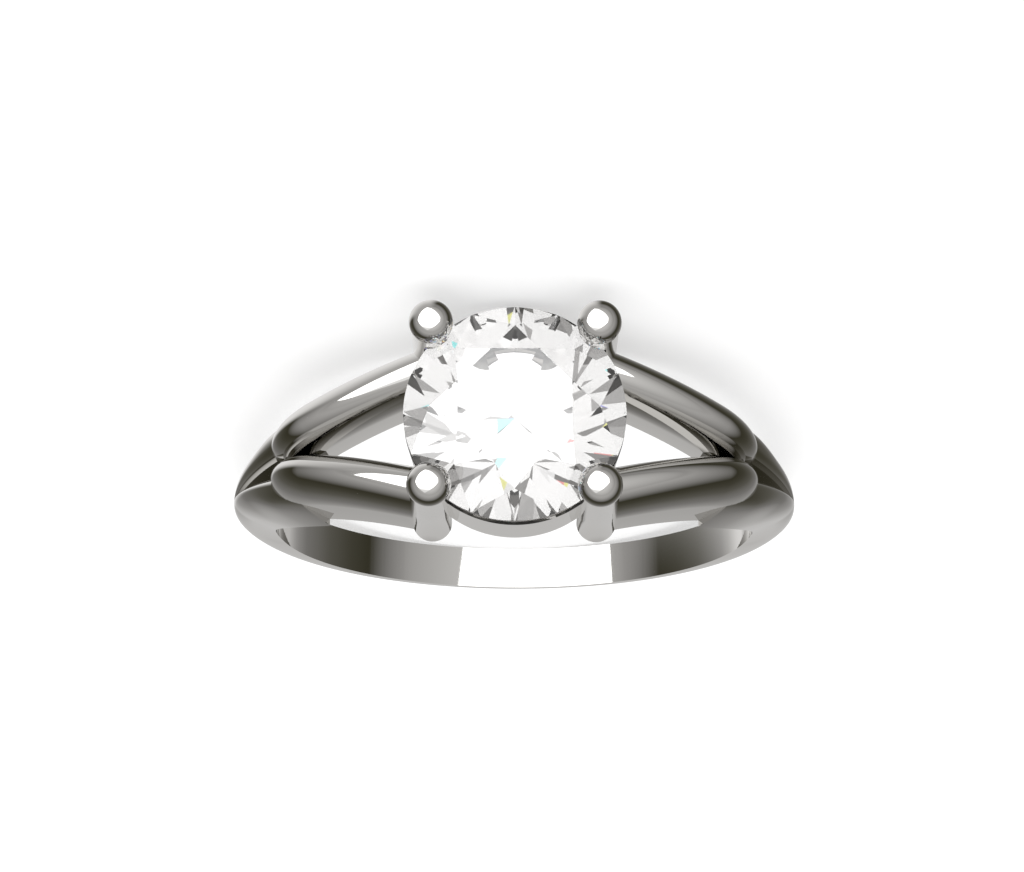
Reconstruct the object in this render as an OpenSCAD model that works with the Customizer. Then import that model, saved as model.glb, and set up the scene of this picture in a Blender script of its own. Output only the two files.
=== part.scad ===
// Split shank solitaire ring, lying on its side as it rests on a table.
// Each piece is drawn with the ring upright: the finger goes in along Y,
// the stone is on top at +Z, and the middle of the finger hole is the origin.
// as_it_rests() then lays the finished ring down.

/* [Finger hole and band] */
// Radius of the finger hole
finger_r = 8.65; // [8.5:0.05:8.7]
// Thickness of the band, from the hole to the top of its dome
band_thickness = 1.54; // [1.4:0.02:1.6]
// Width of the band below the shoulders
band_w = 1.56; // [1.5:0.02:1.7]

/* [Split shoulders] */
// How far a shoulder's ridge leans out for each mm of height
shoulder_flare = 0.255; // [0.25:0.005:0.26]
// How much smaller the ridges are than the band that they grow out of
ridge_less = 0.12; // [0.1:0.01:0.14]
// Angle above the horizontal at which a shoulder ends
shoulder_end = 43.25; // [42:0.25:44]
// Height on the band's crest at which the groove starts
groove_z = 2.55; // [2.4:0.05:2.7]
// Angle above the horizontal at which the groove's bottom rises
groove_rise = 37; // [36:0.5:38]

/* [Split arms] */
// Width of one arm
arm_w = 1.65; // [1.6:0.01:1.7]
// Distance of an arm's middle from the ring's middle plane, above the finger
arm_y = 2.95; // [2.9:0.01:3]
// Angle between an arm and the ring's middle plane, seen from above
arm_turn = 16.7; // [16.4:0.1:17]
// Radius of an arm's crest, in its own plane
crest_r = 11.38; // [11.3:0.02:11.4]
// Height of the dome on top of an arm's straight walls
dome_h = 1.48; // [1.4:0.02:1.5]
// Radius at which the crest turns down into the shoulder
nose_r = 3.5; // [3.4:0.1:3.6]
// Angle above the horizontal at which the crest turns down
nose_start = 48.5; // [48:0.5:50]
// Angle above the horizontal at which an arm ends inside the head
arm_end = 75.3; // [75:0.1:75.5]

/* [Head] */
// Distance of a prong's axis from the stone's axis, along X and along Y
prong_at = 2.71; // [2.7:0.01:2.74]
// Radius of a prong
prong_r = 0.65; // [0.63:0.01:0.67]
// Radius of the bead at a prong's tip
bead_r = 0.715; // [0.7:0.005:0.73]
// Height of a prong's lower end
prong_foot = 8.45; // [8.43:0.01:8.5]
// Height of the middle of a bead
bead_z = 13.14; // [13.05:0.01:13.25]
// Outer radius of the gallery rail
rail_r = 3.5; // [3.4:0.02:3.5]
// Width of the rail's wall
rail_wall = 0.7; // [0.6:0.05:0.8]
// Height of the rail's lower edge
rail_foot = 9.55; // [9.55:0.05:9.8]
// Height of the rail's upper edge
rail_top = 11.54; // [11.4:0.02:11.6]

/* [Stone] */
// Diameter of the brilliant
stone_d = 7.2; // [7.16:0.02:7.24]
// Height of the middle of its girdle
girdle_z = 12; // [11.98:0.01:12.02]
// Thickness of its girdle
girdle_t = 0.2; // [0.16:0.02:0.24]
// Height of its crown above the girdle
crown_h = 1.05; // [1:0.05:1.1]
// Depth of its pavilion below the girdle
pavilion_h = 3.1; // [3.06:0.02:3.12]
// Width of the table as a share of the diameter
table_share = 0.55; // [0.53:0.01:0.58]
// Gap between the stone and its seat
seat_gap = 0.03; // [0.02:0.01:0.05]

/* [Hidden] */
$fn = 120;

// Longer than anything that is cut
far = 40;
// Straight steps across a dome
dome_steps = 12;
// The domes of the band and shoulders start a little inside the hole's wall,
// and their sides go on down to where the hole cuts them off
dome_foot_r = finger_r - 0.1;
inside_r = finger_r - 0.5;
band_dome_h = finger_r + band_thickness - dome_foot_r;
// A nose goes on below the horizontal until it is inside the hole, and at its
// other end this far into the crest, which it stands proud of a little
nose_under = 60;
nose_over = 20;
nose_proud = 0.05;

girdle_r = stone_d / 2;
table_r = girdle_r * table_share;
girdle_top = girdle_z + girdle_t / 2;
girdle_foot = girdle_z - girdle_t / 2;
table_z = girdle_top + crown_h;
culet_z = girdle_foot - pavilion_h;
crown_slope = crown_h / (girdle_r - table_r);
pavilion_slope = pavilion_h / girdle_r;
// The stone's main facets repeat eight times round its axis
facets = 8;
facet_turn = 360 / facets;
// Where the star facets and the lower halves end, as shares of the radius
star_share = 0.76;
lower_half_share = 0.22;
// How far the crown's facets stand proud of the cone through their corners
crown_bulge = 0.1;

// The ring rests on the feet of two prongs and on the far side of the band.
// In the upright ring the table top is the plane y = rest_y + rest_slope * z.
// It goes through a prong's foot and touches the band's dome, which gives
// the quadratic solved here.
foot_y = prong_at + prong_r;
rest_span = dome_foot_r + prong_foot;
rest_a = pow(rest_span, 2) - pow(band_dome_h, 2);
rest_b = foot_y * rest_span;
rest_c = pow(foot_y, 2) - pow(band_w / 2, 2);
rest_slope = (rest_b - sqrt(pow(rest_b, 2) - rest_a * rest_c)) / rest_a;
rest_y = foot_y - rest_slope * prong_foot;
rest_tilt = atan(rest_slope);
// How far the beads and the bottom of the band reach along the table
head_reach = prong_at * sin(rest_tilt) + bead_z * cos(rest_tilt) + bead_r;
band_reach = dome_foot_r * cos(rest_tilt)
    + norm([band_w / 2 * sin(rest_tilt), band_dome_h * cos(rest_tilt)]);

// A dome on straight walls, as [height, width] points from side to side
function dome_section(half_w, foot, wall_top, height) = concat(
    [[foot, half_w]],
    [for (i = [0 : dome_steps])
        let (a = 180 * i / dome_steps)
        [wall_top + height * sin(a), half_w * cos(a)]],
    [[foot, -half_w]]);

// Sweeps a section round an axis along Y; angles rise from +X towards +Z
module sweep_round_y(from_angle, to_angle)
    rotate([90, 0, 0])
        rotate_extrude(angle = to_angle - from_angle, start = from_angle)
            children();

module left_and_right() { children(); mirror([1, 0, 0]) children(); }
module front_and_back() { children(); mirror([0, 1, 0]) children(); }

// The band goes on between the ridges of both shoulders, where a slope
// planes it off as the bottom of the groove
module band()
    difference() {
        sweep_round_y(-180 - shoulder_end, shoulder_end)
            polygon(dome_section(band_w / 2, inside_r, dome_foot_r, band_dome_h));
        left_and_right()
            translate([sqrt(pow(finger_r + band_thickness, 2) - pow(groove_z, 2)), 0, groove_z])
                rotate([0, groove_rise, 0])
                    translate([-far / 2, -far / 2, 0]) cube([far, far, far]);
    }

// The back ridge of the right shoulder, which leans back from the band
module ridge()
    rotate([-atan(shoulder_flare), 0, 0])
        sweep_round_y(0, shoulder_end)
            polygon(dome_section(
                band_w / 2 - ridge_less, inside_r, dome_foot_r, band_dome_h - ridge_less));

module shank() {
    band();
    left_and_right() front_and_back() ridge();
}

// The back arm on the right. Its crest runs round the finger hole and then
// turns down into the shoulder as a rounded nose.
module arm()
    translate([0, arm_y, 0]) rotate([0, 0, -arm_turn]) {
        nose_at = crest_r + nose_proud - nose_r;
        sweep_round_y(nose_start, arm_end)
            polygon(dome_section(arm_w / 2, inside_r, crest_r - dome_h, dome_h));
        translate([nose_at * cos(nose_start), 0, nose_at * sin(nose_start)])
            sweep_round_y(-nose_under, nose_start + nose_over)
                polygon(dome_section(arm_w / 2, 0, nose_r - dome_h, dome_h));
    }

module arms()
    left_and_right() front_and_back() arm();

module prong()
    translate([prong_at, prong_at, 0]) {
        translate([0, 0, prong_foot]) cylinder(r = prong_r, h = bead_z - prong_foot);
        translate([0, 0, bead_z]) sphere(r = bead_r);
    }

module prongs()
    left_and_right() front_and_back() prong();

module gallery_rail()
    translate([0, 0, rail_foot])
        difference() {
            cylinder(r = rail_r, h = rail_top - rail_foot);
            translate([0, 0, -far / 2]) cylinder(r = rail_r - rail_wall, h = far);
        }

module finger_hole()
    rotate([90, -90, 0]) cylinder(r = finger_r, h = far, center = true);

// The seat is turned to the stone's outline, a little larger than the stone
module seat()
    rotate_extrude()
        polygon([
            [0, culet_z - 2 * seat_gap],
            [girdle_r + seat_gap, girdle_foot - 2 * seat_gap],
            [girdle_r + seat_gap, girdle_top + seat_gap + crown_bulge],
            [table_r, table_z + seat_gap + crown_bulge],
            [0, table_z + seat_gap + crown_bulge]]);

// Eight points of the stone at one height, or sixteen round its girdle
function stone_points(count, first_angle, radius, height) = [
    for (i = [0 : count - 1])
        let (a = first_angle + 360 / count * i)
        [radius * cos(a), radius * sin(a), height]];

// A round brilliant: a table, eight stars, eight bezels and sixteen upper
// halves over the girdle, sixteen lower halves and eight mains under it
module brilliant() {
    half_turn = facet_turn / 2;
    star_r = girdle_r * star_share;
    lower_r = girdle_r * lower_half_share;
    points = concat(
        stone_points(facets, half_turn, table_r, table_z),
        stone_points(facets, 0, star_r,
            table_z - crown_slope * (star_r * cos(half_turn) - table_r)),
        stone_points(2 * facets, 0, girdle_r, girdle_top),
        stone_points(2 * facets, 0, girdle_r, girdle_foot),
        stone_points(facets, 0, lower_r, culet_z + pavilion_slope * lower_r * cos(half_turn)),
        [[0, 0, culet_z]]);
    // Where each group of points starts in the list
    stars = facets;
    upper = 2 * facets;
    lower = 4 * facets;
    halves = 6 * facets;
    culet = 7 * facets;
    steps = [0 : facets - 1];
    polyhedron(points, concat(
        [[for (k = steps) facets - 1 - k]],
        [for (k = steps) let (next = (k + 1) % facets,
                              corner = 2 * k, main = 2 * k + 1,
                              before = (2 * k + 2 * facets - 1) % (2 * facets))
            each [
                [next, stars + next, k],
                [k, stars + next, upper + main, stars + k],
                [stars + k, upper + main, upper + corner],
                [stars + k, upper + corner, upper + before],
                [halves + k, lower + corner, lower + main],
                [halves + k, lower + before, lower + corner],
                [culet, halves + k, lower + main, halves + next]]],
        [for (j = [0 : 2 * facets - 1]) let (next = (j + 1) % (2 * facets))
            [upper + j, upper + next, lower + next, lower + j]]));
}

// Turns the finished ring onto its back side, head towards -Y, and brings
// the middle of its outline on the table to the origin
module as_it_rests()
    translate([0, (head_reach - band_reach) / 2, rest_y * cos(rest_tilt)])
        rotate([90 + rest_tilt, 180, 0])
            children();

// Shank, arms, rail and prongs are soldered together
module mounting()
    color("silver")
        as_it_rests()
            difference() {
                union() {
                    shank();
                    arms();
                    gallery_rail();
                    prongs();
                }
                finger_hole();
                seat();
            }

module stone()
    color("white")
        as_it_rests() brilliant();

mounting();
stone();
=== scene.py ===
# Looks of a split shank solitaire ring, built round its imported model.
# Shapes are drawn in mm with the ring upright: the finger goes in along Y,
# the stone is on top at +Z, and the middle of the finger hole is the origin.
# resting_place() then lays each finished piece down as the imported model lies.

import math

import bmesh
import bpy
import numpy as np
from mathutils import Matrix, Vector


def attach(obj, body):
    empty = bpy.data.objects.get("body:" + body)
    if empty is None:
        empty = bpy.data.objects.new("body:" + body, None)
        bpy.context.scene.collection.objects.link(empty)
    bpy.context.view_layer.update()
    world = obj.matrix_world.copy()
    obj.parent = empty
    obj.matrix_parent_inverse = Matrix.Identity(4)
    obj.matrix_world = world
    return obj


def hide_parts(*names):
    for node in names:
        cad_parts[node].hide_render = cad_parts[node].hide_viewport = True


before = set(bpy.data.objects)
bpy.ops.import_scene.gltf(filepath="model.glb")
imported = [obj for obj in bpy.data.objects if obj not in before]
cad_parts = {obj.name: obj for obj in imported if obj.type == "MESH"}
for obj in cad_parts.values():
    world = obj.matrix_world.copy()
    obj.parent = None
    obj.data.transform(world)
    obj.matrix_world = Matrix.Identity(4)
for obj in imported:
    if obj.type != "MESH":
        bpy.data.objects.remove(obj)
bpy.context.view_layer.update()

MM = 0.001
# Points that are nearer than this, in mm, are one, and points that are nearer
# to a cutting plane than this are on it
MERGE_DISTANCE = 1e-5
CUT_DISTANCE = 1e-6
# Edges sharper than this stay sharp on the polished metal
SHARP_ANGLE = 30

# Finger hole and band
FINGER_R = 8.65
BAND_THICKNESS = 1.54
BAND_W = 1.56
# The dome starts a little inside the hole's wall, and the sides go on down to
# where the hole cuts them off
DOME_FOOT_R = FINGER_R - 0.1
INSIDE_R = FINGER_R - 0.5
BAND_DOME_H = FINGER_R + BAND_THICKNESS - DOME_FOOT_R

# Shoulders, where each half of the shank flares into two ridges. The flare
# starts softly, between these sines under and over the horizontal.
SHOULDER_FLARE = 0.234
SHOULDER_END = 43.25
FLARE_BLEND = 0.2
# How the side wall bends over to the crest, on the band, on a shoulder and under
# the nose: its lean for each mm of height, the pull of the wall and of the crest
BAND_BEND = (0.05, 0.8, 0.4)
SHOULDER_BEND = (0.39, 1.15, 0.45)
TIP_BEND = (0.39, 1.3, 0.7)
# The angles between which each of them turns into the next
SHOULDER_BLEND = (-30, 30)
TIP_BLEND = (22, 34)
# The two crests part from here on, by so many mm for each degree. Half of the
# narrow top that they share below is CREST_HALF.
CREST_SPREAD_START = 7.5
CREST_SPREAD = 0.0265
CREST_HALF = 0.02
# The groove deepens by so much for each mm between the crests, down to this far
# above the finger hole. Its sides are pulled by these shares of its half width
# and depth.
GROOVE_STEEPNESS = 1.8
GROOVE_FLOOR = 0.3
GROOVE_WIDTH_PULL = 0.5
GROOVE_DEPTH_PULL = 0.35

# Split arms
ARM_W = 1.65
ARM_Y = 2.95
ARM_TURN = 16.7
CREST_R = 11.38
ARM_DOME_H = 1.48
ARM_DEPTH = 3.2
NOSE_R = 3.5
NOSE_START = 48.5
NOSE_UNDER = 60
ARM_END = 75.3

# Head
PRONG_AT = 2.71
PRONG_R = 0.65
PRONG_SIDES = 96
BEAD_R = 0.715
PRONG_FOOT = 8.45
BEAD_Z = 13.14
RAIL_R = 3.5
RAIL_TOP_R = 3.6
RAIL_WALL = 0.7
RAIL_FOOT = 9.55
RAIL_TOP = 11.54

# Stone
STONE_D = 7.2
GIRDLE_Z = 12.0
GIRDLE_T = 0.2
CROWN_H = 1.05
PAVILION_H = 3.1
TABLE_SHARE = 0.55
STAR_SHARE = 0.76
LOWER_HALF_SHARE = 0.22
SEAT_GAP = 0.03
CROWN_BULGE = 0.1
FACETS = 8
# Faces nearer to one plane than this angle are one facet, and a face that
# rises less than this is part of the upright girdle
FACET_ANGLE = 0.05
GIRDLE_RISE = 0.01

GIRDLE_R = STONE_D / 2
TABLE_R = GIRDLE_R * TABLE_SHARE
GIRDLE_TOP = GIRDLE_Z + GIRDLE_T / 2
GIRDLE_FOOT = GIRDLE_Z - GIRDLE_T / 2
TABLE_Z = GIRDLE_TOP + CROWN_H
CULET_Z = GIRDLE_FOOT - PAVILION_H

# Where the camera stands, fitted to the photograph: elevation and distance
# of its aim, its shift across and up, its roll, and the focal length in
# pixels of a picture 1024 wide
CAMERA_ELEVATION = 73.188
CAMERA_DISTANCE = 97.28
CAMERA_ACROSS = -0.088
CAMERA_UP = 2.74
CAMERA_ROLL = 0.234
FOCAL_PIXELS = 2660.7
PICTURE_W = 1024
SENSOR_W = 36
# The nearest and farthest that it sees, in metres
NEAREST = 0.001
FARTHEST = 10

# Finishes: from the cleanest to the most smeared metal, the ground girdle, and
# how much the smears on the stone hide
METAL_COLOR = (0.75, 0.74, 0.72, 1)
METAL_ROUGHNESS = (0.02, 0.07)
CLEAR = (1, 1, 1, 1)
GIRDLE_COLOR = (0.12, 0.11, 0.1, 1)
GIRDLE_ROUGHNESS = 0.35
SMEARED_ALPHA = 0.96

# The light tent that the metal and the stone mirror: a round room with a wide
# lid, in mm round the upright ring, and its grey by angle from an axis that
# leans forward. The walls behind on the left are lighter.
TENT_R = 40
TENT_FOOT = -45
TENT_MIDDLE = -3
TENT_LEAN = 8
LID_R = 75
LID_FOOT = 20
LID_Z = 37
WALL_GREYS = (
    (30, 186), (58, 152), (72, 116), (84, 48), (96, 59), (112, 79), (122, 96), (132, 108),
    (143, 137), (154, 173), (180, 172),
)
LIGHT_WALL_GREYS = (
    (30, 180), (52, 185), (63, 150), (82, 185), (99, 204), (117, 212), (158, 205), (168, 125),
    (180, 172),
)
# The direction of the lighter walls, half their width and half their soft edge,
# in degrees seen from above
LIGHT_WALL_AT = 122
LIGHT_WALL_HALF = 32
LIGHT_WALL_SOFT = 12
# The light is a little warm: red over grey, blue under it, and how much further
# blue falls in black, starting from this grey
RED_OVER = 2
BLUE_UNDER = 3
DARK_BLUE_UNDER = 14
DARK_FROM = 110
# The softbox is a square on its corner in the lid, cut off on the right. What
# is this near the lid's height counts as the lid.
LID_SKIN = 0.1
SOFTBOX_X = -17
SOFTBOX_Y = 2.8
SOFTBOX_HALF = 47.8
SOFTBOX_RIGHT = 25
SOFTBOX_GREY = 2.5
# Its front corner is dimmer, so that metal seen from behind stays darker than
# the floor: the depths where the corner is dimmest and where its dimming ends
CORNER_GREY = 0.95
CORNER_FROM = -30
CORNER_TO = -14
# Its light after a second reflection, which stays below white, and a number of
# reflections that is more than one and less than two
SECOND_GREY = 0.6
ONE_REFLECTION = 1.5
# What comes through the stone: the softbox's light, how far its colours part in
# mm, and how much lighter the walls are
FIRE_GREY = 0.7
FIRE_SHIFT = 2.0
STONE_WALLS = 1.3

# Surroundings: a floor half this wide, and a light this high over it, in metres
FLOOR_HALF = 1.5
FLOOR_GREY = 0.45
TOP_LIGHT_HEIGHT = 0.25


def resting_place():
    """Lays the upright ring on two prongs' feet and its band, in metres."""
    foot_y = PRONG_AT + PRONG_R
    span = DOME_FOOT_R + PRONG_FOOT
    a = span**2 - BAND_DOME_H**2
    b = foot_y * span
    c = foot_y**2 - (BAND_W / 2) ** 2
    slope = (b - math.sqrt(b * b - a * c)) / a
    tilt = math.atan(slope)
    height = (foot_y - slope * PRONG_FOOT) * math.cos(tilt)
    head_reach = PRONG_AT * math.sin(tilt) + BEAD_Z * math.cos(tilt) + BEAD_R
    band_reach = DOME_FOOT_R * math.cos(tilt) + math.hypot(
        BAND_W / 2 * math.sin(tilt), BAND_DOME_H * math.cos(tilt)
    )
    move = Matrix.Translation(Vector((0, (head_reach - band_reach) / 2, height)) * MM)
    turn = Matrix.Rotation(math.pi, 4, "Y") @ Matrix.Rotation(math.pi / 2 + tilt, 4, "X")
    return move @ turn


REST = resting_place()


def make_camera():
    """Looks at the head from the photograph's angle."""
    elevation = math.radians(CAMERA_ELEVATION)
    right = Vector((1, 0, 0))
    up = Vector((0, math.sin(elevation), math.cos(elevation)))
    view = Vector((0, math.cos(elevation), -math.sin(elevation)))
    place = right * CAMERA_ACROSS + up * CAMERA_UP - view * CAMERA_DISTANCE
    turn = Matrix((right, up, -view)).transposed().to_4x4()
    roll = Matrix.Rotation(math.radians(CAMERA_ROLL), 4, "Z")
    data = bpy.data.cameras.new("camera")
    data.sensor_width = SENSOR_W
    data.lens = FOCAL_PIXELS * SENSOR_W / PICTURE_W
    data.clip_start = NEAREST
    data.clip_end = FARTHEST
    camera = bpy.data.objects.new("camera", data)
    camera.matrix_world = REST @ Matrix.Translation(place * MM) @ turn @ roll
    bpy.context.scene.collection.objects.link(camera)
    bpy.context.scene.camera = camera


def new_object(name, mesh):
    piece = bpy.data.objects.new(name, mesh)
    bpy.context.scene.collection.objects.link(piece)
    return piece


def loft(name, loops):
    """A closed solid through loops of points, one loop a row."""
    loops = np.array(loops)
    rows, count = loops.shape[:2]
    faces = [
        (i * count + j, i * count + (j + 1) % count,
         (i + 1) * count + (j + 1) % count, (i + 1) * count + j)
        for i in range(rows - 1)
        for j in range(count)
    ]
    faces.append(tuple(range(count))[::-1])
    faces.append(tuple(range((rows - 1) * count, rows * count)))
    mesh = bpy.data.meshes.new(name)
    mesh.from_pydata(loops.reshape(-1, 3).tolist(), [], faces)
    return outward(mesh)


def outward(mesh):
    """Merges doubles, turns all faces outwards and splits the ones with many sides."""
    shape = bmesh.new()
    shape.from_mesh(mesh)
    bmesh.ops.remove_doubles(shape, verts=shape.verts, dist=MERGE_DISTANCE)
    bmesh.ops.recalc_face_normals(shape, faces=shape.faces)
    bmesh.ops.triangulate(shape, faces=[f for f in shape.faces if len(f.verts) > 4])
    shape.to_mesh(mesh)
    shape.free()
    return mesh


def mirrored(mesh, x, y):
    """A copy of the mesh for another quarter of the ring."""
    copy = mesh.copy()
    copy.transform(Matrix.Diagonal((x, y, 1, 1)))
    if x * y < 0:
        copy.flip_normals()
    return copy


def on_circle(radius, angle, across):
    """A point in a plane along the finger's axis, angles from +X to +Z."""
    return (radius * math.cos(angle), across, radius * math.sin(angle))


def bend(start, first, second, end, steps):
    """Points along a cubic curve, from its start to its end."""
    points = []
    for i in range(steps + 1):
        t = i / steps
        u = 1 - t
        weights = (u**3, 3 * u * u * t, 3 * u * t * t, t**3)
        points.append(tuple(
            sum(w * p[axis] for w, p in zip(weights, (start, first, second, end)))
            for axis in (0, 1)
        ))
    return points


def softly(value, low, high):
    """0 below low, 1 above high, and a smooth step between them."""
    share = min(1.0, max(0.0, (value - low) / (high - low)))
    return share * share * (3 - 2 * share)


def shank_loop(angle, wall_steps=44, groove_steps=16):
    """The shank's outline where it crosses a ray at this angle: a leaning wall
    that rounds over to a crest, and a groove between the two crests."""
    above = angle if angle < 90 else 180 - angle
    rise = math.sin(math.radians(above))
    if abs(rise) < FLARE_BLEND:
        rise = (rise + FLARE_BLEND) ** 2 / (4 * FLARE_BLEND)
    side = BAND_W / 2 + SHOULDER_FLARE * FINGER_R * max(0, rise)
    shoulder_share = softly(above, *SHOULDER_BLEND)
    tip_share = softly(above, *TIP_BLEND)
    lean, wall_pull, crest_pull = (
        band + (shoulder - band) * shoulder_share + (tip - shoulder) * tip_share
        for band, shoulder, tip in zip(BAND_BEND, SHOULDER_BEND, TIP_BEND)
    )
    top = FINGER_R + BAND_THICKNESS
    spread = CREST_SPREAD * max(0.0, above - CREST_SPREAD_START)
    crest = math.hypot(spread, CREST_HALF)
    bottom = max(top - GROOVE_STEEPNESS * (crest - CREST_HALF), FINGER_R + GROOVE_FLOOR)
    wall = bend(
        (FINGER_R, side),
        (FINGER_R + wall_pull, side - lean * wall_pull),
        (top, crest + crest_pull),
        (top, crest),
        wall_steps,
    )
    groove = bend(
        (top, crest),
        (top, GROOVE_WIDTH_PULL * crest),
        (top - GROOVE_DEPTH_PULL * (top - bottom), GROOVE_WIDTH_PULL * crest),
        (bottom, 0),
        groove_steps,
    )
    half = [(INSIDE_R, side + lean * (FINGER_R - INSIDE_R))] + wall + groove[1:]
    other = [(r, -y) for r, y in reversed(half[:-1])]
    turn = math.radians(angle)
    return [on_circle(r, turn, y) for r, y in half + other]


def shank_mesh(steps=300):
    """The whole shank, from one shoulder's end round to the other's."""
    first = -180 - SHOULDER_END
    last = SHOULDER_END
    angles = [first + (last - first) * i / steps for i in range(steps + 1)]
    return loft("shank", [shank_loop(a if a > -90 else a + 360) for a in angles])


def arm_loop(middle_r, radius, angle, steps=44):
    """The arm's outline across its crest, where the crest has this radius
    round a point middle_r out along the line at which the nose starts."""
    start = math.radians(NOSE_START)
    turn = math.radians(angle)
    section = [(radius - ARM_DEPTH, ARM_W / 2)]
    for i in range(steps + 1):
        t = math.pi * i / steps
        section.append((radius + ARM_DOME_H * (math.sin(t) - 1), ARM_W / 2 * math.cos(t)))
    section.append((radius - ARM_DEPTH, -ARM_W / 2))
    middle = Vector((middle_r * math.cos(start), 0, middle_r * math.sin(start)))
    return [Vector(on_circle(r, turn, y)) + middle for r, y in section]


def arm_mesh(crest_steps=36, nose_steps=90):
    """The right back arm: round the finger first, then down as a nose."""
    crest = [
        arm_loop(0, CREST_R, ARM_END + (NOSE_START - ARM_END) * i / crest_steps)
        for i in range(crest_steps)
    ]
    nose = [
        arm_loop(CREST_R - NOSE_R, NOSE_R, NOSE_START - (NOSE_START + NOSE_UNDER) * i / nose_steps)
        for i in range(nose_steps + 1)
    ]
    mesh = loft("arm", crest + nose)
    turn = Matrix.Rotation(math.radians(-ARM_TURN), 4, "Z")
    mesh.transform(Matrix.Translation((0, ARM_Y, 0)) @ turn)
    return mesh


def revolved(name, outline, steps=256):
    """A closed ring or solid turned round the stone's axis."""
    shape = bmesh.new()
    count = len(outline)
    rows = []
    for i in range(steps):
        turn = 2 * math.pi * i / steps
        rows.append([
            shape.verts.new((r * math.cos(turn), r * math.sin(turn), z)) for r, z in outline
        ])
    for i in range(steps):
        for j in range(count):
            near, far = rows[i], rows[(i + 1) % steps]
            shape.faces.new((near[j], near[(j + 1) % count], far[(j + 1) % count], far[j]))
    mesh = bpy.data.meshes.new(name)
    shape.to_mesh(mesh)
    shape.free()
    return outward(mesh)


def rail_mesh():
    """A plain ring that widens a little towards the stone."""
    inner = RAIL_R - RAIL_WALL
    return revolved("gallery_rail", [
        (inner, RAIL_FOOT), (RAIL_R, RAIL_FOOT), (RAIL_TOP_R, RAIL_TOP), (inner, RAIL_TOP),
    ])


def seat_mesh():
    """What is cut out of the metal for the stone, a little larger than it."""
    outer = GIRDLE_R + SEAT_GAP
    above = TABLE_Z + SEAT_GAP + CROWN_BULGE
    return revolved("seat", [
        (0, CULET_Z - 2 * SEAT_GAP),
        (outer, GIRDLE_FOOT - 2 * SEAT_GAP),
        (outer, GIRDLE_TOP + SEAT_GAP + CROWN_BULGE),
        (TABLE_R, above),
        (0, above),
    ])


def finger_hole_mesh(steps=720, half_length=20):
    """The cylinder that clears the finger hole."""
    loops = [
        [on_circle(FINGER_R, 2 * math.pi * i / steps, y) for i in range(steps)]
        for y in (-half_length, half_length)
    ]
    return loft("finger_hole", loops)


def add_input(tree, name, kind):
    return tree.interface.new_socket(name=name, in_out="INPUT", socket_type=kind).identifier


def prong_tree():
    """Four round prongs on the corners of a square, each under its bead."""
    tree = bpy.data.node_groups.new("prongs_with_beads", "GeometryNodeTree")
    sizes = {
        "Spacing": 2 * PRONG_AT,
        "Prong Radius": PRONG_R,
        "Bead Radius": BEAD_R,
        "Foot Height": PRONG_FOOT,
        "Bead Height": BEAD_Z,
    }
    ids = {name: add_input(tree, name, "NodeSocketFloat") for name in sizes}
    ids["Metal"] = add_input(tree, "Metal", "NodeSocketMaterial")
    tree.interface.new_socket(name="Geometry", in_out="OUTPUT", socket_type="NodeSocketGeometry")
    node = tree.nodes.new
    link = tree.links.new
    given = node("NodeGroupInput").outputs

    length = node("ShaderNodeMath")
    length.operation = "SUBTRACT"
    link(given["Bead Height"], length.inputs[0])
    link(given["Foot Height"], length.inputs[1])
    half = node("ShaderNodeMath")
    half.operation = "MULTIPLY_ADD"
    half.inputs[1].default_value = 0.5
    link(length.outputs[0], half.inputs[0])
    link(given["Foot Height"], half.inputs[2])
    wire = node("GeometryNodeMeshCylinder")
    wire.inputs["Vertices"].default_value = PRONG_SIDES
    link(given["Prong Radius"], wire.inputs["Radius"])
    link(length.outputs[0], wire.inputs["Depth"])
    middle = node("ShaderNodeCombineXYZ")
    link(half.outputs[0], middle.inputs["Z"])
    raised_wire = node("GeometryNodeTransform")
    link(wire.outputs["Mesh"], raised_wire.inputs["Geometry"])
    link(middle.outputs[0], raised_wire.inputs["Translation"])

    bead = node("GeometryNodeMeshUVSphere")
    bead.inputs["Segments"].default_value = PRONG_SIDES
    bead.inputs["Rings"].default_value = PRONG_SIDES // 2
    link(given["Bead Radius"], bead.inputs["Radius"])
    top = node("ShaderNodeCombineXYZ")
    link(given["Bead Height"], top.inputs["Z"])
    raised_bead = node("GeometryNodeTransform")
    link(bead.outputs["Mesh"], raised_bead.inputs["Geometry"])
    link(top.outputs[0], raised_bead.inputs["Translation"])

    prong = node("GeometryNodeMeshBoolean")
    prong.operation = "UNION"
    prong.solver = "MANIFOLD"
    link(raised_wire.outputs[0], prong.inputs["Mesh 2"])
    link(raised_bead.outputs[0], prong.inputs["Mesh 2"])

    corners = node("GeometryNodeMeshGrid")
    corners.inputs["Vertices X"].default_value = 2
    corners.inputs["Vertices Y"].default_value = 2
    link(given["Spacing"], corners.inputs["Size X"])
    link(given["Spacing"], corners.inputs["Size Y"])
    placed = node("GeometryNodeInstanceOnPoints")
    link(corners.outputs["Mesh"], placed.inputs["Points"])
    link(prong.outputs["Mesh"], placed.inputs["Instance"])
    real = node("GeometryNodeRealizeInstances")
    link(placed.outputs[0], real.inputs[0])
    painted = node("GeometryNodeSetMaterial")
    link(real.outputs[0], painted.inputs["Geometry"])
    link(given["Metal"], painted.inputs["Material"])
    link(painted.outputs[0], node("NodeGroupOutput").inputs["Geometry"])
    return tree, ids, sizes


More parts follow.
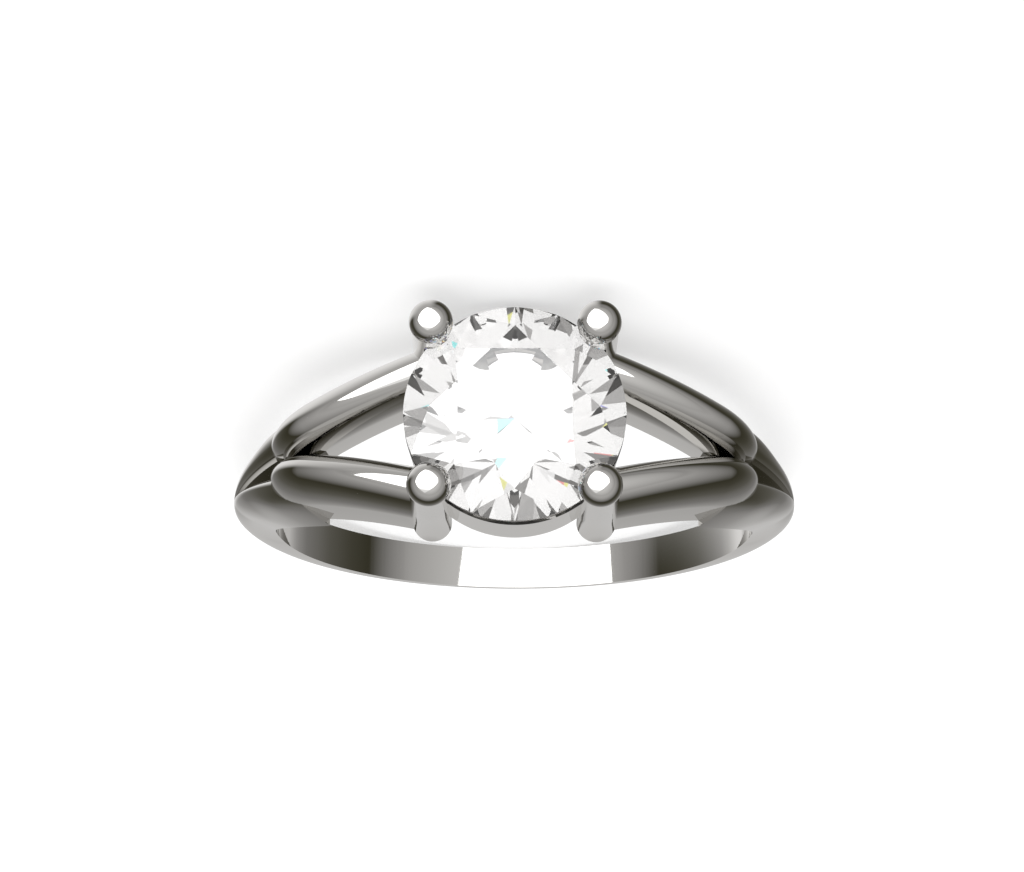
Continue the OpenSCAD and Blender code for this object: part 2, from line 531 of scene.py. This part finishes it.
def prongs_mesh(metal):
    """The four prongs as one plain mesh."""
    tree, ids, sizes = prong_tree()
    piece = new_object("prongs", bpy.data.meshes.new("prongs"))
    maker = piece.modifiers.new("prongs", "NODES")
    maker.node_group = tree
    for name, size in sizes.items():
        maker[ids[name]] = size
    maker[ids["Metal"]] = metal
    seen = piece.evaluated_get(bpy.context.evaluated_depsgraph_get())
    mesh = bpy.data.meshes.new_from_object(seen)
    piece.modifiers.remove(maker)
    bpy.data.objects.remove(piece)
    return mesh


def cut_or_join(base, other, operation):
    """Changes base by a solid boolean with the other mesh."""
    tool = new_object("tool", other)
    change = base.modifiers.new("boolean", "BOOLEAN")
    change.operation = operation
    change.solver = "MANIFOLD"
    change.object = tool
    seen = base.evaluated_get(bpy.context.evaluated_depsgraph_get())
    base.data = bpy.data.meshes.new_from_object(seen)
    base.modifiers.remove(change)
    bpy.data.objects.remove(tool)


def make_mounting(metal):
    """Shank, arms, rail and prongs soldered into one smooth solid."""
    piece = new_object("polished_mounting", shank_mesh())
    arm = arm_mesh()
    for x, y in ((1, 1), (-1, 1), (1, -1), (-1, -1)):
        cut_or_join(piece, mirrored(arm, x, y), "UNION")
    cut_or_join(piece, rail_mesh(), "UNION")
    cut_or_join(piece, prongs_mesh(metal), "UNION")
    cut_or_join(piece, finger_hole_mesh(), "DIFFERENCE")
    cut_or_join(piece, seat_mesh(), "DIFFERENCE")
    finish_piece(piece, metal, "mounting")
    for face in piece.data.polygons:
        face.use_smooth = True
    piece.data.set_sharp_from_angle(angle=math.radians(SHARP_ANGLE))


def finish_piece(piece, material, node):
    piece.data.transform(REST @ Matrix.Scale(MM, 4))
    piece.data.materials.clear()
    piece.data.materials.append(material)
    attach(piece, "root")
    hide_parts(node)


def at_angle(angle, radius, height):
    """A point round the stone's axis."""
    turn = math.radians(angle)
    return Vector((radius * math.cos(turn), radius * math.sin(turn), height))


def facet_planes():
    """A point and an outward direction for each facet of the brilliant."""
    step = 360 / FACETS
    half = step / 2
    star_r = GIRDLE_R * STAR_SHARE
    crown_slope = CROWN_H / (GIRDLE_R - TABLE_R)
    star_z = TABLE_Z - crown_slope * (star_r * math.cos(math.radians(half)) - TABLE_R)
    lower_r = GIRDLE_R * LOWER_HALF_SHARE
    pavilion_slope = PAVILION_H / GIRDLE_R
    lower_z = CULET_Z + pavilion_slope * lower_r * math.cos(math.radians(half))
    culet = Vector((0, 0, CULET_Z))
    middle = Vector((0, 0, GIRDLE_Z))
    planes = []
    for k in range(FACETS):
        a = k * step
        table_left = at_angle(a - half, TABLE_R, TABLE_Z)
        table_right = at_angle(a + half, TABLE_R, TABLE_Z)
        star = at_angle(a, star_r, star_z)
        next_star = at_angle(a + step, star_r, star_z)
        lower = at_angle(a, lower_r, lower_z)
        next_lower = at_angle(a + step, lower_r, lower_z)
        corners = [
            (table_left, star, table_right),
            (table_right, star, next_star),
            (culet, lower, next_lower),
        ]
        for side in (-half, half):
            for tip, edge_z in ((star, GIRDLE_TOP), (lower, GIRDLE_FOOT)):
                corners.append((
                    tip, at_angle(a, GIRDLE_R, edge_z), at_angle(a + side, GIRDLE_R, edge_z),
                ))
        for p, q, r in corners:
            out = (q - p).cross(r - p).normalized()
            planes.append((p, out if out.dot(p - middle) > 0 else -out))
    return planes


def stone_mesh(girdle_steps=128):
    """A round blank of the girdle's size, cut by one plane for each facet."""
    shape = bmesh.new()
    blank = bmesh.ops.create_cone(
        shape, cap_ends=True, segments=girdle_steps, radius1=GIRDLE_R, radius2=GIRDLE_R,
        depth=TABLE_Z - CULET_Z,
    )
    bmesh.ops.translate(shape, vec=(0, 0, (TABLE_Z + CULET_Z) / 2), verts=blank["verts"])
    for point, out in facet_planes():
        everything = shape.verts[:] + shape.edges[:] + shape.faces[:]
        bmesh.ops.bisect_plane(
            shape, geom=everything, dist=CUT_DISTANCE, plane_co=point, plane_no=out,
            clear_outer=True,
        )
        rim = [e for e in shape.edges if e.is_boundary]
        if rim:
            bmesh.ops.edgeloop_fill(shape, edges=rim)
    bmesh.ops.dissolve_limit(
        shape, angle_limit=math.radians(FACET_ANGLE), verts=shape.verts, edges=shape.edges
    )
    bmesh.ops.recalc_face_normals(shape, faces=shape.faces)
    mesh = bpy.data.meshes.new("stone")
    shape.to_mesh(mesh)
    shape.free()
    return mesh


def make_stone(material):
    """The stone, with an attribute that is 1 on its ground girdle."""
    piece = new_object("cut_stone", stone_mesh())
    piece.data.attributes.new("girdle", "FLOAT", "FACE")
    flat = [1.0 if abs(face.normal.z) < GIRDLE_RISE else 0.0 for face in piece.data.polygons]
    piece.data.attributes["girdle"].data.foreach_set("value", flat)
    finish_piece(piece, material, "stone")


def fine_marks_group():
    """Hair-fine polishing marks and faint smears: a height and a mask."""
    group = bpy.data.node_groups.new("fine_marks", "ShaderNodeTree")
    new_socket = group.interface.new_socket
    for name, value in (("Mark Scale", 1.0), ("Smear Scale", 1.0), ("Smear Contrast", 0.5)):
        new_socket(name=name, in_out="INPUT", socket_type="NodeSocketFloat").default_value = value
    new_socket(name="Height", in_out="OUTPUT", socket_type="NodeSocketFloat")
    new_socket(name="Smears", in_out="OUTPUT", socket_type="NodeSocketFloat")
    node = group.nodes.new
    link = group.links.new
    given = node("NodeGroupInput").outputs
    given_out = node("NodeGroupOutput").inputs
    place = node("ShaderNodeTexCoord").outputs["Object"]

    marks = node("ShaderNodeTexNoise")
    marks.inputs["Detail"].default_value = 4
    marks.inputs["Roughness"].default_value = 0.7
    link(place, marks.inputs["Vector"])
    link(given["Mark Scale"], marks.inputs["Scale"])
    link(marks.outputs["Fac"], given_out["Height"])

    smears = node("ShaderNodeTexNoise")
    smears.inputs["Detail"].default_value = 2
    link(place, smears.inputs["Vector"])
    link(given["Smear Scale"], smears.inputs["Scale"])
    contrast = node("ShaderNodeMath")
    contrast.operation = "POWER"
    link(smears.outputs["Fac"], contrast.inputs[0])
    link(given["Smear Contrast"], contrast.inputs[1])
    link(contrast.outputs[0], given_out["Smears"])
    return group


def mapped(tree, value, low, high):
    """The value, from 0 to 1, turned into one from low to high."""
    scale = tree.nodes.new("ShaderNodeMapRange")
    scale.inputs["To Min"].default_value = low
    scale.inputs["To Max"].default_value = high
    tree.links.new(value, scale.inputs["Value"])
    return scale.outputs["Result"]


def new_material(name):
    """A new material, its tree and its shader."""
    material = bpy.data.materials.new(name)
    material.use_nodes = True
    return material, material.node_tree, material.node_tree.nodes["Principled BSDF"]


def polished_metal(marks):
    """A mirror, a little duller where it is smeared, with hair-fine marks."""
    material, tree, shader = new_material("polished_white_metal")
    shader.inputs["Base Color"].default_value = METAL_COLOR
    shader.inputs["Metallic"].default_value = 1
    worn = tree.nodes.new("ShaderNodeGroup")
    worn.node_tree = marks
    worn.inputs["Mark Scale"].default_value = 9000
    worn.inputs["Smear Scale"].default_value = 500
    worn.inputs["Smear Contrast"].default_value = 2
    roughness = mapped(tree, worn.outputs["Smears"], *METAL_ROUGHNESS)
    tree.links.new(roughness, shader.inputs["Roughness"])
    bump = tree.nodes.new("ShaderNodeBump")
    bump.inputs["Strength"].default_value = 0.02
    bump.inputs["Distance"].default_value = 0.00001
    tree.links.new(worn.outputs["Height"], bump.inputs["Height"])
    tree.links.new(bump.outputs["Normal"], shader.inputs["Normal"])
    return material


def clear_stone(marks):
    """Clear facets round a ground girdle, with faint smears."""
    material, tree, shader = new_material("clear_cut_stone")
    shader.inputs["Metallic"].default_value = 0
    shader.inputs["Transmission Weight"].default_value = 1
    shader.inputs["IOR"].default_value = 2.417
    girdle = tree.nodes.new("ShaderNodeAttribute")
    girdle.attribute_name = "girdle"
    roughness = mapped(tree, girdle.outputs["Fac"], 0, GIRDLE_ROUGHNESS)
    tree.links.new(roughness, shader.inputs["Roughness"])
    tint = mixed(tree, girdle.outputs["Fac"], CLEAR, GIRDLE_COLOR)
    tree.links.new(tint, shader.inputs["Base Color"])
    worn = tree.nodes.new("ShaderNodeGroup")
    worn.node_tree = marks
    worn.inputs["Smear Scale"].default_value = 300
    alpha = mapped(tree, worn.outputs["Smears"], SMEARED_ALPHA, 1)
    tree.links.new(alpha, shader.inputs["Alpha"])
    return material


def linear(grey):
    """The light that a grey level from 0 to 255 stands for."""
    share = grey / 255
    return share / 12.92 if share <= 0.04045 else ((share + 0.055) / 1.055) ** 2.4


def math_node(tree, operation, first, second=None):
    """The result of a sum on sockets or numbers."""
    node = tree.nodes.new("ShaderNodeMath")
    node.operation = operation
    for socket, value in zip(node.inputs, (first, second)):
        if isinstance(value, bpy.types.NodeSocket):
            tree.links.new(value, socket)
        elif value is not None:
            socket.default_value = value
    return node.outputs[0]


def vector_math(tree, operation, first, second=None):
    """The result of a sum on a vector's socket and a socket or numbers."""
    node = tree.nodes.new("ShaderNodeVectorMath")
    node.operation = operation
    tree.links.new(first, node.inputs[0])
    if isinstance(second, bpy.types.NodeSocket):
        tree.links.new(second, node.inputs[1])
    elif second is not None:
        node.inputs[1].default_value = second
    return node.outputs["Value" if operation == "DOT_PRODUCT" else "Vector"]


def warm(grey):
    """The light in the tent that the metal mirrors as this grey, warmer in the dark."""
    blue_under = BLUE_UNDER + DARK_BLUE_UNDER * max(0, 1 - grey / DARK_FROM)
    levels = (grey + RED_OVER, grey, grey - blue_under)
    return [linear(level) / metal for level, metal in zip(levels, METAL_COLOR)] + [1]


def plain_grey(level):
    return (level, level, level, 1)


def grey_ramp(tree, angle, greys):
    """The wall's light by an angle that is given as a share of 180 degrees."""
    ramp = tree.nodes.new("ShaderNodeValToRGB")
    tree.links.new(angle, ramp.inputs[0])
    stops = ramp.color_ramp.elements
    while len(stops) > 1:
        stops.remove(stops[-1])
    for i, (degrees, grey) in enumerate(greys):
        stop = stops[0] if i == 0 else stops.new(degrees / 180)
        stop.position = degrees / 180
        stop.color = warm(grey)
    return ramp.outputs["Color"]


def mixed(tree, share, first, second):
    """A colour between two sockets or colours."""
    mix = tree.nodes.new("ShaderNodeMix")
    mix.data_type = "RGBA"
    tree.links.new(share, mix.inputs["Factor"])
    for name, color in (("A", first), ("B", second)):
        if isinstance(color, bpy.types.NodeSocket):
            tree.links.new(color, mix.inputs[name])
        else:
            mix.inputs[name].default_value = color
    return mix.outputs["Result"]


def smooth_share(tree, value, low, high):
    """0 where the value is below low, 1 above high, and a smooth step between."""
    step = tree.nodes.new("ShaderNodeMapRange")
    step.interpolation_type = "SMOOTHSTEP"
    step.inputs["From Min"].default_value = low
    step.inputs["From Max"].default_value = high
    tree.links.new(value, step.inputs["Value"])
    return step.outputs["Result"]


def softbox_mask(tree, place, shift):
    """1 on the softbox, moved by this much in both directions, and 0 elsewhere."""
    away = vector_math(tree, "SUBTRACT", place, (SOFTBOX_X + shift, SOFTBOX_Y + shift, 0))
    across = tree.nodes.new("ShaderNodeSeparateXYZ")
    tree.links.new(away, across.inputs[0])
    reach_x = math_node(tree, "ABSOLUTE", across.outputs["X"])
    reach_y = math_node(tree, "ABSOLUTE", across.outputs["Y"])
    inside = math_node(tree, "LESS_THAN", math_node(tree, "ADD", reach_x, reach_y), SOFTBOX_HALF)
    in_lid = math_node(tree, "GREATER_THAN", across.outputs["Z"], LID_Z - LID_SKIN)
    right_edge = SOFTBOX_RIGHT - SOFTBOX_X
    before_edge = math_node(tree, "LESS_THAN", across.outputs["X"], right_edge)
    return math_node(tree, "MULTIPLY", math_node(tree, "MULTIPLY", inside, in_lid), before_edge)


def softbox_light(tree, place, glossy_depth):
    """The softbox's light, dimmer in its front corner and in second reflections."""
    depth = tree.nodes.new("ShaderNodeSeparateXYZ")
    tree.links.new(place, depth.inputs[0])
    past_corner = smooth_share(tree, depth.outputs["Y"], CORNER_FROM, CORNER_TO)
    first_light = mixed(tree, past_corner, plain_grey(CORNER_GREY), plain_grey(SOFTBOX_GREY))
    mirrored_again = math_node(tree, "GREATER_THAN", glossy_depth, ONE_REFLECTION)
    return mixed(tree, mirrored_again, first_light, plain_grey(SECOND_GREY))


def wall_light(tree, place):
    """The light of the walls by the angle from their leaning axis."""
    from_middle = vector_math(tree, "SUBTRACT", place, (0, 0, TENT_MIDDLE))
    lean = math.radians(TENT_LEAN)
    up = vector_math(
        tree, "DOT_PRODUCT", vector_math(tree, "NORMALIZE", from_middle),
        (0, -math.sin(lean), math.cos(lean)),
    )
    angle = math_node(tree, "DIVIDE", math_node(tree, "ARCCOSINE", up), math.pi)
    level = vector_math(tree, "NORMALIZE", vector_math(tree, "MULTIPLY", from_middle, (1, 1, 0)))
    turn = math.radians(LIGHT_WALL_AT)
    facing = vector_math(tree, "DOT_PRODUCT", level, (math.cos(turn), math.sin(turn), 0))
    outer_edge = math.cos(math.radians(LIGHT_WALL_HALF + LIGHT_WALL_SOFT))
    inner_edge = math.cos(math.radians(LIGHT_WALL_HALF - LIGHT_WALL_SOFT))
    return mixed(
        tree, smooth_share(tree, facing, outer_edge, inner_edge),
        grey_ramp(tree, angle, WALL_GREYS), grey_ramp(tree, angle, LIGHT_WALL_GREYS),
    )


def light_through_stone(tree, place, walls):
    """A cut stone parts the colours, so its softbox is shifted a little for each."""
    fire = tree.nodes.new("ShaderNodeCombineColor")
    for name, shift in (("Red", -FIRE_SHIFT), ("Green", 0), ("Blue", FIRE_SHIFT)):
        tree.links.new(softbox_mask(tree, place, shift), fire.inputs[name])
    fire_light = vector_math(tree, "MULTIPLY", fire.outputs["Color"], (FIRE_GREY,) * 3)
    # The square of the walls' light has more contrast
    raised_walls = vector_math(tree, "MULTIPLY", walls, (STONE_WALLS,) * 3)
    stone_walls = vector_math(tree, "MULTIPLY", raised_walls, walls)
    return vector_math(tree, "ADD", fire_light, stone_walls)


def tent_light():
    """Walls that darken away from the lid, and a softbox in the lid."""
    material = bpy.data.materials.new("tent_light")
    material.use_nodes = True
    tree = material.node_tree
    tree.nodes.clear()
    place = tree.nodes.new("ShaderNodeTexCoord").outputs["Object"]
    path = tree.nodes.new("ShaderNodeLightPath").outputs
    walls = wall_light(tree, place)
    softbox = softbox_light(tree, place, path["Glossy Depth"])
    mirrored_light = mixed(tree, softbox_mask(tree, place, 0), walls, softbox)
    stone_light = light_through_stone(tree, place, walls)
    lit = mixed(tree, path["Is Transmission Ray"], mirrored_light, stone_light)
    glow = tree.nodes.new("ShaderNodeEmission")
    tree.links.new(lit, glow.inputs["Color"])
    tree.links.new(glow.outputs[0], tree.nodes.new("ShaderNodeOutputMaterial").inputs[0])
    material.cycles.emission_sampling = "NONE"
    return material


def make_tent():
    """Stands round the ring, seen only in what the metal and the stone mirror."""
    outline = [
        (0, TENT_FOOT), (TENT_R, TENT_FOOT), (TENT_R, LID_FOOT), (LID_R, LID_Z), (0, LID_Z),
    ]
    tent = new_object("light_tent", revolved("light_tent", outline, steps=128))
    tent.matrix_world = REST @ Matrix.Scale(MM, 4)
    tent.data.materials.append(tent_light())
    tent.visible_camera = False
    tent.visible_diffuse = False
    tent.visible_shadow = False


def make_white_surroundings():
    """White on all sides of the floor."""
    world = bpy.data.worlds.new("studio")
    bpy.context.scene.world = world
    world.use_nodes = True
    light = world.node_tree.nodes["Background"].inputs
    light["Color"].default_value = (1, 1, 1, 1)
    light["Strength"].default_value = 1.05


def make_top_light():
    """A wide light over the floor, which the metal doesn't mirror."""
    data = bpy.data.lights.new("top_light", "AREA")
    data.shape = "DISK"
    data.size = 0.5
    data.energy = 0.6
    light = bpy.data.objects.new("top_light", data)
    light.location = (0, 0, TOP_LIGHT_HEIGHT)
    light.visible_glossy = False
    bpy.context.scene.collection.objects.link(light)


def make_floor():
    """A pale floor under the ring, which the metal and the stone don't mirror."""
    mesh = bpy.data.meshes.new("floor")
    far = FLOOR_HALF
    corners = [(-far, -far, 0), (far, -far, 0), (far, far, 0), (-far, far, 0)]
    mesh.from_pydata(corners, [], [(0, 1, 2, 3)])
    floor = new_object("floor", mesh)
    material, tree, shader = new_material("pale_floor")
    shader.inputs["Base Color"].default_value = plain_grey(FLOOR_GREY)
    shader.inputs["Roughness"].default_value = 0.9
    # Lit from below, so that the shadows on it stay pale
    shader.inputs["Emission Color"].default_value = (1, 1, 1, 1)
    shader.inputs["Emission Strength"].default_value = 0.5
    mesh.materials.append(material)
    floor.visible_glossy = False
    floor.visible_transmission = False


make_camera()
fine_marks = fine_marks_group()
make_mounting(polished_metal(fine_marks))
make_stone(clear_stone(fine_marks))
make_white_surroundings()
make_tent()
make_top_light()
make_floor()
bpy.context.scene.view_settings.view_transform = "Standard"
